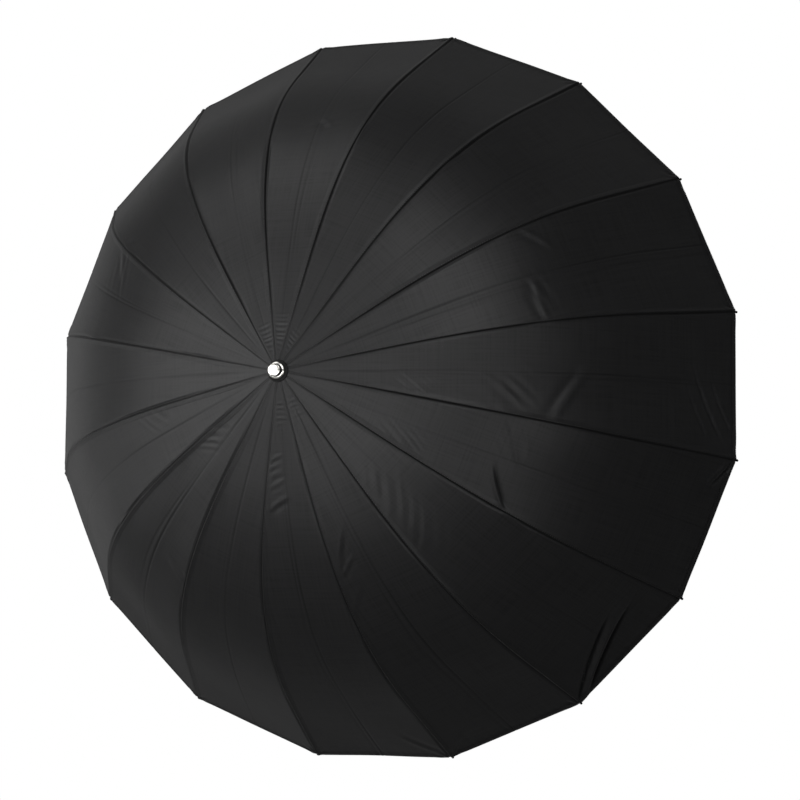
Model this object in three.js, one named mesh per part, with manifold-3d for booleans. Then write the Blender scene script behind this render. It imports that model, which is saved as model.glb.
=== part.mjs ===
// A deep umbrella reflector, 1050 mm across its 16 corners. Millimetres, +Z up.
// Bent ribs hang in a slotted crown at the head of an 8 mm shaft. Stretchers from a sliding
// runner hold them open under a black canopy, and a sprung catch holds the runner.
// The shaft lies along Y: the finial points to -Y and the bowl opens towards +Y. The origin is
// on the shaft's axis, at the middle of the stretch that a lamp bracket's clamp grips.
// Every rib is built in its own plane, X outwards, Y along the shaft from the canopy's apex and
// Z across the rib, and is then turned about the shaft.

import * as THREE from "three";
import { mergeVertices } from "three/addons/utils/BufferGeometryUtils.js";
import Module from "manifold-3d";

const { degToRad, lerp, smoothstep } = THREE.MathUtils;
const wasm = await Module();
wasm.setup();

// Driving dimensions
const RIBS = 16;
const RIM_RADIUS = 525;
const CLAMP_FROM_APEX = 586;
const SHAFT_HEAD = -9; // its end inside the finial, measured from the apex
const SHAFT_END = 742;
const SHAFT_RADIUS = 4;
const SHAFT_WALL = 0.8;
const GAP = 0.3; // running clearance

// The open rib: its slope to the plane across the shaft at each end, and where it bends
const HUB_SLOPE = degToRad(12.6);
const RIM_SLOPE = degToRad(60.4);
const BEND_START = 0.153;
const BEND_END = 0.835;
const ROD_RADIUS = 1.75;
const TIP_PIN = 6.5; // how far the rib stands out past the canopy's corner
const TIP_RADIUS = 1.3;

const CANOPY_THICKNESS = 1;
const ROD_CLEARANCE = 1.2; // between the rod and the flat panels of the canopy
const ROD_DEPTH = CANOPY_THICKNESS + ROD_CLEARANCE + ROD_RADIUS; // rod's centre under the outside

// Crowns: the pivots of ribs and stretchers stand on circles of the same radius
const PIVOT_RADIUS = 14;
const HUB_PIVOT_DEPTH = 7.6; // from the apex
const CROWN_RADIUS = 17.5;
const SLOT_FLOOR = 10.5;
const SLOT_WIDTH = 2.8;
const CROWN_HALF = 3.5;
const WIRE_RADIUS = 0.6;
const EYE_RADIUS = 2.4;
const EYE_HOLE = WIRE_RADIUS + 0.4;
const BLADE_THICKNESS = 2;

// Bracket: where the stretcher meets the rib
const BRACKET_AT = 0.525; // share of the rib's length
const BRACKET_HALF = 8;
const CLIP_WIDTH = 4.8;
const CLIP_TOP = 1.2;
const CLIP_BOTTOM = 1.9;
const RIVET_DROP = 7; // from the rod's centre to the stretcher's rivet
const RIVET_RADIUS = 1;
const TAB_THICKNESS = 1.6;
const FLEX_AHEAD = 11; // from the bracket's middle to the joint of the rib's two sections
const FLEX_GAP = 0.8;

// Stretcher: a folded channel, open away from the canopy
const CHANNEL = 4;
const CHANNEL_WALL = 0.8;
const CHANNEL_START = 9;
const EYE_BAR = 15;

// Runner and catch
const SLEEVE_RADIUS = 7;
const SLEEVE_LENGTH = 38;
const CATCH_LENGTH = 26;
const CATCH_THICKNESS = 1.8;
const CATCH_RISE = 7;
const PIN_RADIUS = 0.8;

const PLASTIC = { color: 0x161617, roughness: 0.5, metalness: 0 };
const GLASS_ROD = { color: 0x1b1b1d, roughness: 0.35, metalness: 0 };
const STEEL = { color: 0xb4b5b8, roughness: 0.3, metalness: 1 };
const BLACK_STEEL = { color: 0x222326, roughness: 0.4, metalness: 0.7 };
const CHROME = { color: 0xf0f0f0, roughness: 0.08, metalness: 1 };
const FABRIC = { color: 0x1c1c1e, roughness: 0.85, metalness: 0 };

const ribAngle = (index) => ((index - 0.5) * 2 * Math.PI) / RIBS;
const ribName = (stem, index) => stem + "_" + String(index + 1).padStart(2, "0");

// The canopy's outside over a rib: equal steps along its slope, scaled to the rim's radius
const SPINE_STEPS = 240;
const slopeAt = (share) => lerp(HUB_SLOPE, RIM_SLOPE, smoothstep(share, BEND_START, BEND_END));
const spine = [new THREE.Vector2()];
for (let step = 0; step < SPINE_STEPS; step++) {
  const slope = slopeAt((step + 0.5) / SPINE_STEPS);
  spine.push(new THREE.Vector2(Math.cos(slope), Math.sin(slope)).add(spine[step]));
}
const SPINE_STEP = RIM_RADIUS / spine[SPINE_STEPS].x;
const RIB_LENGTH = SPINE_STEPS * SPINE_STEP;

// A point on or under the canopy in the rib's plane, by its share of the rib's length
function underCanopy(share, depth = 0) {
  const step = Math.min(Math.floor(share * SPINE_STEPS), SPINE_STEPS - 1);
  const inwards = new THREE.Vector2(-Math.sin(slopeAt(share)), Math.cos(slopeAt(share)));
  return spine[step]
    .clone()
    .lerp(spine[step + 1], share * SPINE_STEPS - step)
    .multiplyScalar(SPINE_STEP)
    .addScaledVector(inwards, depth);
}

const HUB_PIVOT = new THREE.Vector2(PIVOT_RADIUS, HUB_PIVOT_DEPTH);
const RIVET = underCanopy(BRACKET_AT, ROD_DEPTH + RIVET_DROP);
// The stretcher is as long as the rib from its pivot to the rivet, so the runner's pivots stay
// on the crown's circle.
const STRETCHER_LENGTH = RIVET.distanceTo(HUB_PIVOT);
const RUNNER_PIVOT = new THREE.Vector2(PIVOT_RADIUS, 2 * RIVET.y - HUB_PIVOT.y);
const SLEEVE_END = RUNNER_PIVOT.y + SLEEVE_LENGTH;
const FLEX_AT = BRACKET_AT + FLEX_AHEAD / RIB_LENGTH;

class RodLine extends THREE.Curve {
  constructor(from, to) {
    super();
    this.from = from;
    this.to = to;
  }
  getPoint(share) {
    const place = underCanopy(lerp(this.from, this.to, share), ROD_DEPTH);
    return new THREE.Vector3(place.x, place.y, 0);
  }
}

function solid(geometry) {
  const bare = geometry.clone();
  bare.deleteAttribute("normal");
  bare.deleteAttribute("uv");
  const merged = mergeVertices(bare, 1e-4);
  const vertProperties = merged.attributes.position.array;
  const triVerts = new Uint32Array(merged.index.array);
  return new wasm.Manifold(new wasm.Mesh({ numProp: 3, vertProperties, triVerts }));
}

// Both take solids and geometries
const asSolid = (piece) => (piece.isBufferGeometry ? solid(piece) : piece);
const union = (...pieces) => pieces.map(asSolid).reduce((whole, next) => whole.add(next));
const cut = (whole, ...pieces) => asSolid(whole).subtract(union(...pieces));

function geometryOf(manifold) {
  const { vertProperties, triVerts } = manifold.getMesh();
  const geometry = new THREE.BufferGeometry();
  geometry.setAttribute("position", new THREE.BufferAttribute(vertProperties, 3));
  geometry.setIndex(new THREE.BufferAttribute(triVerts, 1));
  geometry.computeVertexNormals();
  return geometry;
}

function box(x, y, z) {
  const size = [x[1] - x[0], y[1] - y[0], z[1] - z[0]];
  const middle = [x, y, z].map(([low, high]) => (low + high) / 2);
  return new THREE.BoxGeometry(...size).translate(...middle);
}

// A body turned about the shaft, from [radius, y] pairs that run round its section
function turned(section, sides = 24, start = 0) {
  const points = [...section, section[0]].map(([radius, y]) => new THREE.Vector2(radius, y));
  return new THREE.LatheGeometry(points, sides, start);
}

function ring(inner, outer, low, high, sides) {
  return turned([[inner, low], [outer, low], [outer, high], [inner, high]], sides);
}

function plate(shape, thickness) {
  const settings = { depth: thickness, bevelEnabled: false, curveSegments: 5 };
  return new THREE.ExtrudeGeometry(shape, settings).translate(0, 0, -thickness / 2);
}

function polygon(radius, sides) {
  const corners = [];
  for (let side = 0; side < sides; side++) {
    const angle = (2 * Math.PI * (side + 0.5)) / sides;
    corners.push(new THREE.Vector2(Math.cos(angle), Math.sin(angle)).multiplyScalar(radius));
  }
  return new THREE.Shape(corners);
}

function rod(from, to, steps) {
  const extrudePath = new RodLine(from, to);
  return new THREE.ExtrudeGeometry(polygon(ROD_RADIUS, 6), { steps, extrudePath });
}

// A pin across the rib's plane, centred on a point of that plane
function crossPin(place, radius, halfLength, sides = 8) {
  return new THREE.CylinderGeometry(radius, radius, 2 * halfLength, sides)
    .rotateX(Math.PI / 2)
    .translate(place.x, place.y, 0);
}

// A flat bar that starts in a drilled round eye
function eyeBar(eye, end, endHalf) {
  const along = end.clone().sub(eye);
  const side = new THREE.Vector2(-along.y, along.x).setLength(endHalf);
  const opening = Math.PI / 3;
  const shape = new THREE.Shape();
  const first = along.angle() + opening;
  shape.absarc(eye.x, eye.y, EYE_RADIUS, first, first + 2 * (Math.PI - opening));
  shape.lineTo(end.x - side.x, end.y - side.y);
  shape.lineTo(end.x + side.x, end.y + side.y);
  return cut(plate(shape, BLADE_THICKNESS), crossPin(eye, EYE_HOLE, BLADE_THICKNESS, 6));
}

// A piece built along X at the origin, laid along the rod at a share of its length
function alongRod(geometry, share) {
  const place = underCanopy(share, ROD_DEPTH);
  return geometry.rotateZ(slopeAt(share)).translate(place.x, place.y, 0);
}

function ribInner() {
  const rodStart = 0.032;
  const rodEnd = FLEX_AT - FLEX_GAP / RIB_LENGTH;
  const half = CLIP_WIDTH / 2;
  const clip = box([-BRACKET_HALF, BRACKET_HALF], [-CLIP_TOP, CLIP_BOTTOM], [-half, half]);
  const tabHalf = TAB_THICKNESS / 2;
  const tab = box([-half, half], [0, RIVET_DROP + half], [-tabHalf, tabHalf]);
  return geometryOf(
    union(
      eyeBar(HUB_PIVOT, underCanopy(0.045, ROD_DEPTH), 1.5),
      rod(rodStart, rodEnd, 7),
      alongRod(clip, BRACKET_AT),
      alongRod(tab, BRACKET_AT),
      crossPin(RIVET, RIVET_RADIUS, CHANNEL / 2 + GAP, 6),
    ),
  );
}

function ribOuter() {
  const start = FLEX_AT + FLEX_GAP / RIB_LENGTH;
  const ferruleLength = 10;
  const ferrule = new THREE.CylinderGeometry(2.1, 2.1, ferruleLength, 6)
    .rotateZ(Math.PI / 2)
    .translate(ferruleLength / 2 + 1, 0, 0);
  const pin = new THREE.CylinderGeometry(TIP_RADIUS, TIP_RADIUS, 2 * TIP_PIN, 6).rotateZ(Math.PI / 2);
  const section = rod(start, 1 - 2 / RIB_LENGTH, 7);
  return geometryOf(union(section, alongRod(ferrule, start), alongRod(pin, 1)));
}

// Along X from the runner's pivot at 0 to the rivet at STRETCHER_LENGTH, web towards -Y
function stretcher() {
  const half = CHANNEL / 2;
  const inside = half - CHANNEL_WALL;
  const end = STRETCHER_LENGTH + 2.6;
  const webStop = STRETCHER_LENGTH - 5;
  const rivet = new THREE.Vector2(STRETCHER_LENGTH, 0);
  const bar = union(
    box([CHANNEL_START, end], [-half, half], [-half, half]),
    eyeBar(new THREE.Vector2(), new THREE.Vector2(EYE_BAR, 0), half - 0.4),
  );
  const channel = cut(
    bar,
    box([EYE_BAR, end + 1], [-inside, half + 1], [-inside, inside]),
    box([webStop, end + 1], [-half - 1, 0], [-inside, inside]),
    crossPin(rivet, RIVET_RADIUS + GAP, CHANNEL, 6),
  );
  return geometryOf(channel)
    .rotateZ(RIVET.clone().sub(RUNNER_PIVOT).angle())
    .translate(RUNNER_PIVOT.x, RUNNER_PIVOT.y, 0);
}

// The slots and the wire's groove that a crown with its pivots at a depth is cut by
function crownCuts(depth) {
  const slots = [];
  for (let index = 0; index < RIBS; index++) {
    const slot = box(
      [SLOT_FLOOR, CROWN_RADIUS + 2],
      [depth - 2 * CROWN_HALF, depth + 2 * CROWN_HALF],
      [-SLOT_WIDTH / 2, SLOT_WIDTH / 2],
    );
    slots.push(slot.rotateY(ribAngle(index)));
  }
  const reach = WIRE_RADIUS + GAP;
  const groove = ring(PIVOT_RADIUS - reach, CROWN_RADIUS + 2, depth - reach, depth + reach, 24);
  return [...slots, groove];
}

function wireRing(depth) {
  return new THREE.TorusGeometry(PIVOT_RADIUS, WIRE_RADIUS, 5, 32)
    .rotateX(Math.PI / 2)
    .translate(0, depth, 0);
}

const NOTCH_BACK = 22;
const NOTCH_PIN_DEPTH = 17;
const bore = SHAFT_RADIUS + GAP;
const pinHole = PIN_RADIUS + GAP;

const coneAt = (radius) => radius * Math.tan(HUB_SLOPE);

function topNotch() {
  const under = CANOPY_THICKNESS / Math.cos(HUB_SLOPE) + GAP;
  const collar = SLEEVE_RADIUS + 1;
  const body = turned([
    [bore, coneAt(bore) + under],
    [CROWN_RADIUS, coneAt(CROWN_RADIUS) + under],
    [CROWN_RADIUS, HUB_PIVOT.y + CROWN_HALF],
    [collar, HUB_PIVOT.y + CROWN_HALF],
    [collar, NOTCH_BACK],
    [bore, NOTCH_BACK],
  ]);
  const pin = new THREE.Vector2(0, NOTCH_PIN_DEPTH);
  return geometryOf(cut(body, ...crownCuts(HUB_PIVOT.y), crossPin(pin, pinHole, collar + 2)));
}

function runner() {
  const flare = SLEEVE_RADIUS + 2.5;
  const body = turned([
    [bore, RUNNER_PIVOT.y - CROWN_HALF],
    [CROWN_RADIUS, RUNNER_PIVOT.y - CROWN_HALF],
    [CROWN_RADIUS, RUNNER_PIVOT.y + CROWN_HALF],
    [SLEEVE_RADIUS, RUNNER_PIVOT.y + 2 * CROWN_HALF],
    [SLEEVE_RADIUS, SLEEVE_END - 8],
    [flare, SLEEVE_END - 3],
    [flare, SLEEVE_END],
    [bore, SLEEVE_END],
  ]);
  return geometryOf(cut(body, ...crownCuts(RUNNER_PIVOT.y)));
}

const CATCH_NOSE = SLEEVE_END + GAP;
const CATCH_PIVOT = new THREE.Vector2(0, CATCH_NOSE + CATCH_LENGTH);

function shaft() {
  const inside = SHAFT_RADIUS - SHAFT_WALL;
  const tube = solid(ring(inside, SHAFT_RADIUS, SHAFT_HEAD, SHAFT_END, 24));
  const slotHalf = CATCH_THICKNESS / 2 + GAP;
  const slotSpan = [CATCH_NOSE - 1, CATCH_PIVOT.y - 2];
  const acrossX = crossPin(CATCH_PIVOT, pinHole, SHAFT_RADIUS + 1).rotateY(Math.PI / 2);
  return geometryOf(
    cut(
      tube,
      box([-slotHalf, slotHalf], slotSpan, [0, SHAFT_RADIUS + 1]),
      crossPin(new THREE.Vector2(0, NOTCH_PIN_DEPTH), pinHole, SHAFT_RADIUS + 1),
      acrossX,
    ),
  );
}

// A lever in the shaft's slot: its nose stands out behind the runner and slopes down to the pin
function catchLever() {
  const shape = new THREE.Shape();
  const eye = 1.9;
  shape.moveTo(CATCH_RISE, 0);
  shape.lineTo(0.8, 0);
  shape.lineTo(-eye * 0.7, CATCH_LENGTH - eye);
  shape.absarc(0, CATCH_LENGTH, eye, 1.25 * Math.PI, 0.25 * Math.PI, true);
  shape.lineTo(CATCH_RISE, 1.5);
  const pin = crossPin(new THREE.Vector2(0, CATCH_LENGTH), pinHole, CATCH_THICKNESS);
  const lever = cut(plate(shape, CATCH_THICKNESS), pin);
  return geometryOf(lever).rotateY(-Math.PI / 2).translate(0, CATCH_NOSE, 0);
}

function canopy() {
  const rows = 15;
  const holeShare = (SHAFT_RADIUS + 2 * GAP) / Math.cos(HUB_SLOPE) / RIB_LENGTH;
  const outside = [];
  const inside = [];
  for (let row = 0; row <= rows; row++) {
    const share = lerp(holeShare, 1, row / rows);
    outside.push(underCanopy(share).toArray());
    inside.unshift(underCanopy(share, CANOPY_THICKNESS).toArray());
  }
  return turned([...outside, ...inside], RIBS, Math.PI / 2 + ribAngle(0));
}

const WASHER_RADIUS = 14.5;
const WASHER_THICKNESS = 1.6;

function washer() {
  const high = (radius) => [radius, coneAt(radius) - GAP];
  const low = ([radius, y]) => [radius, y - WASHER_THICKNESS];
  const section = [high(bore), high(WASHER_RADIUS)];
  return turned([low(section[0]), low(section[1]), section[1], section[0]]);
}

function finial() {
  const collar = 11.4;
  const knob = 8.5;
  const base = (radius) => [radius, coneAt(radius) - 2 * GAP - WASHER_THICKNESS];
  const collarTop = -4.5;
  const knobTop = -12;
  return turned(
    [
      [0, knobTop - 0.8],
      [knob * 0.6, knobTop - 0.5],
      [knob - 0.8, knobTop],
      [knob, knobTop + 1],
      [knob, collarTop - 0.4],
      [collar - 1.4, collarTop],
      [collar - 0.3, collarTop + 0.9],
      [collar, collarTop + 2.2],
      base(collar - 0.3),
      base(bore),
      [bore, SHAFT_HEAD - GAP],
      [0, SHAFT_HEAD - GAP],
    ],
    28,
  );
}

const END_CAP_RADIUS = 6;
const END_CAP_FACE = 750;

function endCap() {
  const plug = SHAFT_RADIUS - SHAFT_WALL - GAP;
  return turned([
    [0, SHAFT_END - 12],
    [plug, SHAFT_END - 12],
    [plug, SHAFT_END + GAP],
    [END_CAP_RADIUS, SHAFT_END + GAP],
    [END_CAP_RADIUS, END_CAP_FACE - 1],
    [END_CAP_RADIUS - 1, END_CAP_FACE],
    [0, END_CAP_FACE],
  ]);
}

const umbrella = new THREE.Group();
umbrella.position.y = -CLAMP_FROM_APEX;

function add(name, geometry, finish, turn = 0) {
  const mesh = new THREE.Mesh(geometry, new THREE.MeshStandardMaterial(finish));
  mesh.name = name;
  mesh.rotation.y = turn;
  umbrella.add(mesh);
}

const notchPin = crossPin(new THREE.Vector2(0, NOTCH_PIN_DEPTH), PIN_RADIUS, SLEEVE_RADIUS + 0.8);
const catchPin = crossPin(CATCH_PIVOT, PIN_RADIUS, SHAFT_RADIUS - 0.2).rotateY(Math.PI / 2);

add("shaft", shaft(), STEEL);
add("shaft_end_cap", endCap(), PLASTIC);
add("finial", finial(), CHROME);
add("canopy_washer", washer(), PLASTIC);
add("canopy", canopy(), FABRIC);
add("top_notch", topNotch(), PLASTIC);
add("notch_wire", wireRing(HUB_PIVOT.y), STEEL);
add("notch_pin", notchPin, STEEL);
add("runner", runner(), PLASTIC);
add("runner_wire", wireRing(RUNNER_PIVOT.y), STEEL);
add("catch", catchLever(), STEEL);
add("catch_pin", catchPin, STEEL);

const ribInnerShape = ribInner();
const ribOuterShape = ribOuter();
const stretcherShape = stretcher();
for (let index = 0; index < RIBS; index++) {
  add(ribName("rib_inner", index), ribInnerShape, GLASS_ROD, ribAngle(index));
  add(ribName("rib_outer", index), ribOuterShape, GLASS_ROD, ribAngle(index));
  add(ribName("stretcher", index), stretcherShape, BLACK_STEEL, ribAngle(index));
}

export default umbrella;
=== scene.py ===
"""Looks of a deep 16-rib umbrella reflector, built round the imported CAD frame.

The shaft lies along Y: the finial points to -Y and the bowl opens towards +Y. Shapes are worked
out in the shared frame in millimetres, and become metres when a mesh is made.
"""

import math

import bmesh
import bpy
import numpy as np
from mathutils import Matrix, Vector


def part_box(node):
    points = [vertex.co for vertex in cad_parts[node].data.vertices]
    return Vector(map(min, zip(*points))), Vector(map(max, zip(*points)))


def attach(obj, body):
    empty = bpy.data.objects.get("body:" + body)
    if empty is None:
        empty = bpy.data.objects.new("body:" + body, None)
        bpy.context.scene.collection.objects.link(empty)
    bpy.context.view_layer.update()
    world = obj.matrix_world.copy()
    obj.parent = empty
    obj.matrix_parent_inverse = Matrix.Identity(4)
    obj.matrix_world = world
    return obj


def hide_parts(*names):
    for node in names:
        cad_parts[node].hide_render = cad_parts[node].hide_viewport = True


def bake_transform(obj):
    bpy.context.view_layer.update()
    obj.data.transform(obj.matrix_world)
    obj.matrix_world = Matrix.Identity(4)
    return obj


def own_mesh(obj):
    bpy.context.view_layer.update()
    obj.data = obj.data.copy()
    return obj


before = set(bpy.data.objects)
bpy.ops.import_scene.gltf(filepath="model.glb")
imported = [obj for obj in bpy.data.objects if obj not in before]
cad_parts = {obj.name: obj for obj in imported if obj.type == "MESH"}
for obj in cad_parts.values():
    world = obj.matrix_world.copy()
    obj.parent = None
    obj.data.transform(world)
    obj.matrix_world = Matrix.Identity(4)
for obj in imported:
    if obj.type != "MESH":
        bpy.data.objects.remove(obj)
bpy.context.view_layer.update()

MM = 0.001
RIBS = 16
GORE_ANGLE = 2 * math.pi / RIBS
HALF_GORE = GORE_ANGLE / 2

canopy_low, canopy_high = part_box("canopy")
RIM_RADIUS = (canopy_high.x - canopy_low.x) / 2 / math.cos(HALF_GORE) / MM
RIM_Y = canopy_high.y / MM

# The open rib: its slope to the plane across the shaft at each end, and where it bends
HUB_SLOPE = math.radians(12.6)
RIM_SLOPE = math.radians(60.4)
BEND_START = 0.153
BEND_END = 0.835
SPINE_STEPS = 2400

# Layers, from the canopy's outside inwards
CLOTH = 0.7
ROD_DEPTH = 3.95
ROD_RADIUS = 1.75
BRACKET_SHARE = 0.525  # where the stretcher meets the rib
FLEX_SHARE = 0.5408  # where the rib's springy section starts, just past the bracket
CLOTH_COLOUR = (0.0078, 0.0078, 0.0081)


# ------------ the canopy's surface


def smoothstep(value, start, end):
    share = np.clip((value - start) / (end - start), 0, 1)
    return share * share * (3 - 2 * share)


def slope_at(share):
    return HUB_SLOPE + (RIM_SLOPE - HUB_SLOPE) * smoothstep(share, BEND_START, BEND_END)


spine_shares = np.linspace(0, 1, SPINE_STEPS + 1)
spine_slopes = slope_at((spine_shares[1:] + spine_shares[:-1]) / 2)
spine_radii = np.concatenate([[0], np.cumsum(np.cos(spine_slopes))])
spine_rises = np.concatenate([[0], np.cumsum(np.sin(spine_slopes))])
SPINE_SCALE = RIM_RADIUS / spine_radii[-1]
spine_radii *= SPINE_SCALE
spine_rises *= SPINE_SCALE
RIB_LENGTH = SPINE_STEPS * SPINE_SCALE
APEX_Y = RIM_Y - spine_rises[-1]


def share_at_radius(radius):
    return float(np.interp(radius, spine_radii, spine_shares))


def under_canopy(share, depth=0.0):
    """Radius and Y of a point under a rib's line, by its share of the rib's length."""
    slope = slope_at(share)
    radius = np.interp(share, spine_shares, spine_radii) - np.sin(slope) * depth
    rise = np.interp(share, spine_shares, spine_rises) + np.cos(slope) * depth
    return radius, APEX_Y + rise


def rib_angle(index):
    return (index - 0.5) * GORE_ANGLE


def outwards(angle):
    return np.stack([np.cos(angle), np.zeros_like(angle), -np.sin(angle)], -1)


def unit(vectors):
    return vectors / np.linalg.norm(vectors, axis=-1, keepdims=True)


def gaussian(distance, width):
    return np.exp(-((distance / width) ** 2))


# ------------ what the cloth does
# Everything below is a height in millimetres over the flat panels. along is the distance from the
# apex over the cloth, across the distance from the seam at the gore's first rib, and width the
# gore's width there.

SEAM_ALLOWANCE = 7.0
HEM = 12.0


def seam_relief(gore, across, width, along):
    """Felled seams: a stitched groove on the rib and a double layer on one side of it.

    On the other side the cloth dips away from the rod, more in some places than in others.
    """
    from_second = width - across
    taper = np.clip(width / 40, 0.25, 1)
    allowance = np.minimum(SEAM_ALLOWANCE, 0.22 * width)
    rod = 0.3 * gaussian(np.minimum(across, from_second), 3.2)
    groove = -1.0 * gaussian(np.minimum(across, from_second), 1.0)
    layer = 0.35 * (1 - smoothstep(from_second, allowance - 0.6, allowance + 0.6))
    stitch_line = -0.16 * gaussian(from_second - allowance * 0.82, 0.5)
    share = along / RIB_LENGTH
    piped = 0.5 * (1 + np.sin(5 * share + 2.3 * gore)) * smoothstep(share, 0.1, 0.3)
    ridge = 0.75 * piped * gaussian(from_second - 2.6, 1.6)
    dip = -1.5 * looseness(gore + 1, share) * gaussian(across - 1.8, 1.6)
    return (rod + groove + layer + stitch_line + ridge + dip) * taper


def looseness(rib, share):
    """How far the cloth hangs away beside a rib: least at the hub and at the stretcher's bracket."""
    loose = 0.35 + 0.65 * np.sin(7.5 * share + 1.3 * rib) ** 2
    return loose * (1 - gaussian(share - BRACKET_SHARE, 0.03)) * smoothstep(share, 0.06, 0.2)


# The fold down each gore's middle, and how far a second one lies beside it; 0 is no second one
MIDDLE_FOLDS = (
    (0.35, 6), (0.2, 0), (0.12, 0), (0.5, 9), (0.4, 7), (0.35, 0), (0.45, 10), (0.3, 0),
    (0.35, 0), (0.35, 8), (0.4, 0), (0.25, 9), (0.35, 12), (0.5, 0), (0.25, 8), (0.5, 14),
)


def fold_lines(gore, across, width, along):
    """Distances from the pressed folds down the gore's middle, each with how marked it is."""
    depth, beside = MIDDLE_FOLDS[gore]
    wander = 1.3 * np.sin(along / 140 + gore * 1.7) * np.clip(width / 100, 0, 1)
    wander += 0.4 * np.sin(along / 37 + gore) * np.clip(width / 100, 0, 1)
    marked = (0.7 + 0.3 * np.sin(along / 61 + 2.4 * gore)) * smoothstep(along, 20, 110)
    first = across - width / 2 - wander
    lines = [(first, depth * marked)]
    if beside:
        second = first - beside * np.clip(width / 150, 0.2, 1) - wander
        lines.append((second, 0.6 * depth * marked * smoothstep(along, 60, 240)))
    return lines


def middle_folds(gore, across, width, along):
    height = 0 * across
    for offset, depth in fold_lines(gore, across, width, along):
        height -= depth * (gaussian(offset, 1.3) - 0.25 * gaussian(offset - 2.6, 1.8))
    return height


def creases(gore, share, across, width):
    """The sum of the gore's own creases; each is drawn on the flat panel, in mm."""
    points = np.stack([share * RIB_LENGTH, across - width / 2], -1)
    height = 0 * across
    for place, start, end, size, tall in CREASES:
        if place == gore:
            ends = [(at * RIB_LENGTH, (side - 0.5) * gore_width(at)) for at, side in (start, end)]
            height = height + crease(points, *np.array(ends), size, tall)
    return height * smoothstep(np.minimum(across, width - across), 0.5, 6)


def painted_groove_shade(gore, share, across, width):
    """How much painted shade a point gets where it lies down in a seam or a fold, from 0 to 1."""
    # painted shade in seams, beside them, in folds, by the hem and in crease valleys; it darkens the
    # cover's colour and gloss
    along = share * RIB_LENGTH
    seam = gaussian(np.minimum(across, width - across), 1.25)
    seam = seam * (0.45 + 0.55 * smoothstep(along, 40, 220))
    beside = 0.4 * looseness(gore + 1, share) * gaussian(across - 1.6, 1.2)
    folded = 0 * across
    for offset, depth in fold_lines(gore, across, width, along):
        folded = folded + 1.1 * depth * gaussian(offset, 1.2)
    hem = 0.5 * gaussian(RIB_LENGTH - along - HEM + 1.5, 1.2) + gaussian(RIB_LENGTH - along, 1.6)
    valleys = smoothstep(-creases(gore, share, across, width), 0.4, 2.2)
    return np.clip(seam + beside + folded + hem + valleys, 0, 1)


# Creases: gore, start and end as (share of the rib, share of the gore), width and height in mm.
# A ridge has a valley beside it, or with a negative height a valley has a ridge. A negative width
# puts the second one on the other side.
CREASES = (
    # at the brackets
    (15, (0.526, 0.99), (0.529, 0.50), -5.4, 0.6),
    (15, (0.541, 0.02), (0.595, 0.30), 4.6, 0.8),
    (0, (0.529, 0.99), (0.616, 0.45), -7.2, 1.6),
    (1, (0.506, 0.95), (0.452, 0.55), -2.7, -1.9),
    (1, (0.447, 0.06), (0.500, 0.55), 3.4, 0.7),
    (1, (0.481, 0.10), (0.512, 0.40), 3.4, 0.5),
    (3, (0.500, 0.99), (0.440, 0.72), 4.6, 0.4),
    (3, (0.415, 0.88), (0.330, 0.60), -3.6, -1.1),
    (6, (0.509, 0.02), (0.489, 0.33), 5.0, 0.6),
    (9, (0.551, 0.97), (0.484, 0.65), 5.0, 0.5),
    (10, (0.548, 0.06), (0.459, 0.20), 4.0, 0.6),
    (3, (0.415, 0.92), (0.385, 0.70), 3.4, 0.8),
    (12, (0.583, 0.50), (0.543, 0.66), 5.0, 0.4),
    (4, (0.271, 0.88), (0.244, 0.45), 3.6, 0.6),
    # strong folds that run into a tip
    (2, (0.992, 0.99), (0.872, 0.30), 4.8, -3.8),
    (2, (0.996, 0.91), (0.893, 0.12), -4.6, -3.4),
    (1, (0.990, 0.03), (0.950, 0.24), 4.0, -1.8),
    (4, (0.980, 0.05), (0.900, 0.28), 5.0, 0.6),
    (3, (0.985, 0.96), (0.930, 0.80), 4.5, 0.7),
    # slack folds that lean into the first rib's tip
    (0, (0.990, 0.86), (0.915, 0.40), 4.0, -1.0),
    (0, (0.965, 0.94), (0.862, 0.28), 4.4, -1.2),
    (0, (0.920, 0.92), (0.845, 0.42), 4.4, -0.9),
    (0, (0.862, 0.92), (0.795, 0.62), 4.4, -0.6),
)

CREASE_BOW = 0.14  # how far a crease bends, as a share of its length


def crease(points, start, end, width, height):
    """A soft ridge with a valley beside it, along the line from start to end; all in mm."""
    line = end - start
    length = np.linalg.norm(line)
    line = line / length
    from_start = points - start
    run = from_start @ line
    offset = from_start @ np.array([-line[1], line[0]]) + CREASE_BOW * run * (1 - run / length)
    starting = smoothstep(run, -0.12 * length, 0.25 * length)
    ending = smoothstep(run, 0.55 * length, 1.12 * length)
    ridge = gaussian(offset, width) - 0.75 * gaussian(offset - 1.7 * width, 1.1 * width)
    return height * starting * (1 - ending) * ridge


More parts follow.
